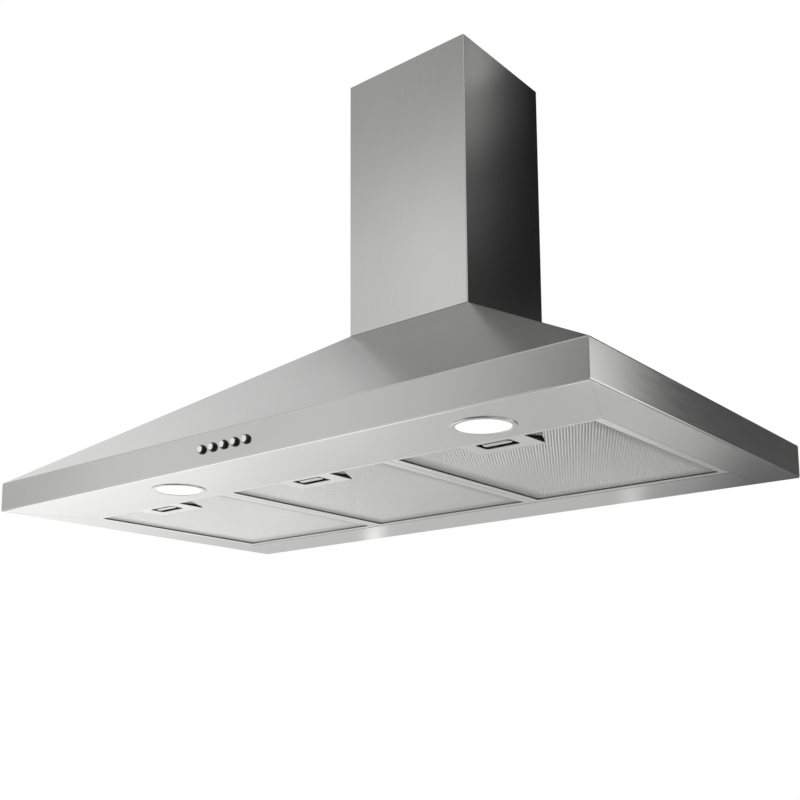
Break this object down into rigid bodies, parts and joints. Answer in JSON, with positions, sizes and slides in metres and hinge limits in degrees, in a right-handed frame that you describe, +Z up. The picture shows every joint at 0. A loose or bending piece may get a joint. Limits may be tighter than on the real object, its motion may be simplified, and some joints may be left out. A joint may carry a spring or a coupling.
{
  "type": "range hood",
  "caption": "Wall-mounted pyramid chimney range hood with a telescopic chimney, hinged mesh grease filters with sliding latches, round lamps and push buttons.",
  "frame": {"origin": "on the wall plane, centred between the two hanging keyholes at the height of their seats, 190 mm above the underside rim", "axes": "+X to the right seen from the front, +Y towards the wall, +Z up"},
  "size_m": [0.9, 0.5042, 0.6319],
  "materials": {
    "stainless": "brushed stainless sheet, grain along the length",
    "galvanised": "galvanised, dull",
    "aluminium": "mill finish, rolled and expanded",
    "chrome": "polished chrome plate",
    "black_plastic": "moulded, satin",
    "grey_plastic": "moulded can",
    "circuit_board": "solder mask",
    "frosted_lens": "frosted diffuser",
    "motor_enamel": "dark enamel"
  },
  "bodies": {
    "canopy": {"canopy_shell": "stainless", "rear_panel": "galvanised", "lower_chimney": "stainless", "blower_scroll_left": "galvanised", "blower_scroll_right": "galvanised", "blower_top_plate": "galvanised", "duct_collar": "black_plastic", "flap_rod": "galvanised", "motor": "motor_enamel", "motor_bracket": "galvanised", "capacitor": "grey_plastic", "capacitor_clip": "galvanised", "junction_box": "black_plastic", "junction_lid": "black_plastic", "cable_gland": "black_plastic", "switch_housing": "black_plastic", "control_board": "circuit_board", "lamp_ring_left": "stainless", "lamp_lens_left": "frosted_lens", "lamp_body_left": "aluminium", "lamp_ring_right": "stainless", "lamp_lens_right": "frosted_lens", "lamp_body_right": "aluminium"},
    "upper_chimney": {"upper_chimney": "stainless", "upper_bracket": "galvanised"},
    "impeller": {"impeller": "galvanised", "impeller_shaft": "chrome"},
    "flap_front": {"flap_front": "aluminium"},
    "flap_rear": {"flap_rear": "aluminium"},
    "button_1": {"button_1": "chrome"},
    "button_2": {"button_2": "chrome"},
    "button_3": {"button_3": "chrome"},
    "button_4": {"button_4": "chrome"},
    "button_5": {"button_5": "chrome"},
    "filter_1": {"filter_frame_1": "aluminium", "filter_mesh_1": "aluminium"},
    "filter_2": {"filter_frame_2": "aluminium", "filter_mesh_2": "aluminium"},
    "filter_3": {"filter_frame_3": "aluminium", "filter_mesh_3": "aluminium"},
    "latch_1": {"filter_latch_1": "stainless"},
    "latch_2": {"filter_latch_2": "stainless"},
    "latch_3": {"filter_latch_3": "stainless"}
  },
  "joints": [
    {"name": "chimney_slide", "type": "slide", "parent": "canopy", "child": "upper_chimney", "axis": [0, 0, 1], "range_m": [0, 0.3]},
    {"name": "impeller_spin", "type": "hinge", "parent": "canopy", "child": "impeller", "pos_m": [0, -0.12, -0.065], "axis": [1, 0, 0], "continuous": true},
    {"name": "flap_front_hinge", "type": "hinge", "parent": "canopy", "child": "flap_front", "pos_m": [0, -0.091, 0.084], "axis": [-1, 0, 0], "range_deg": [0, 75]},
    {"name": "flap_rear_hinge", "type": "hinge", "parent": "canopy", "child": "flap_rear", "pos_m": [0, -0.091, 0.084], "axis": [1, 0, 0], "range_deg": [0, 75]},
    {"name": "button_1_press", "type": "slide", "parent": "canopy", "child": "button_1", "axis": [0, 1, 0], "range_m": [0, 0.003], "stiffness_N_per_m": 200, "springref_m": -0.001},
    {"name": "button_2_press", "type": "slide", "parent": "canopy", "child": "button_2", "axis": [0, 1, 0], "range_m": [0, 0.003], "stiffness_N_per_m": 200, "springref_m": -0.001},
    {"name": "button_3_press", "type": "slide", "parent": "canopy", "child": "button_3", "axis": [0, 1, 0], "range_m": [0, 0.003], "stiffness_N_per_m": 200, "springref_m": -0.001},
    {"name": "button_4_press", "type": "slide", "parent": "canopy", "child": "button_4", "axis": [0, 1, 0], "range_m": [0, 0.003], "stiffness_N_per_m": 200, "springref_m": -0.001},
    {"name": "button_5_press", "type": "slide", "parent": "canopy", "child": "button_5", "axis": [0, 1, 0], "range_m": [0, 0.003], "stiffness_N_per_m": 200, "springref_m": -0.001},
    {"name": "filter_1_drop", "type": "hinge", "parent": "canopy", "child": "filter_1", "pos_m": [-0.266, -0.08, -0.1888], "axis": [1, 0, 0], "range_deg": [0, 75]},
    {"name": "filter_2_drop", "type": "hinge", "parent": "canopy", "child": "filter_2", "pos_m": [0, -0.08, -0.1888], "axis": [1, 0, 0], "range_deg": [0, 75]},
    {"name": "filter_3_drop", "type": "hinge", "parent": "canopy", "child": "filter_3", "pos_m": [0.266, -0.08, -0.1888], "axis": [1, 0, 0], "range_deg": [0, 75]},
    {"name": "latch_1_slide", "type": "slide", "parent": "filter_1", "child": "latch_1", "axis": [0, 1, 0], "range_m": [0, 0.006], "stiffness_N_per_m": 150, "springref_m": -0.002},
    {"name": "latch_2_slide", "type": "slide", "parent": "filter_2", "child": "latch_2", "axis": [0, 1, 0], "range_m": [0, 0.006], "stiffness_N_per_m": 150, "springref_m": -0.002},
    {"name": "latch_3_slide", "type": "slide", "parent": "filter_3", "child": "latch_3", "axis": [0, 1, 0], "range_m": [0, 0.006], "stiffness_N_per_m": 150, "springref_m": -0.002}
  ]
}
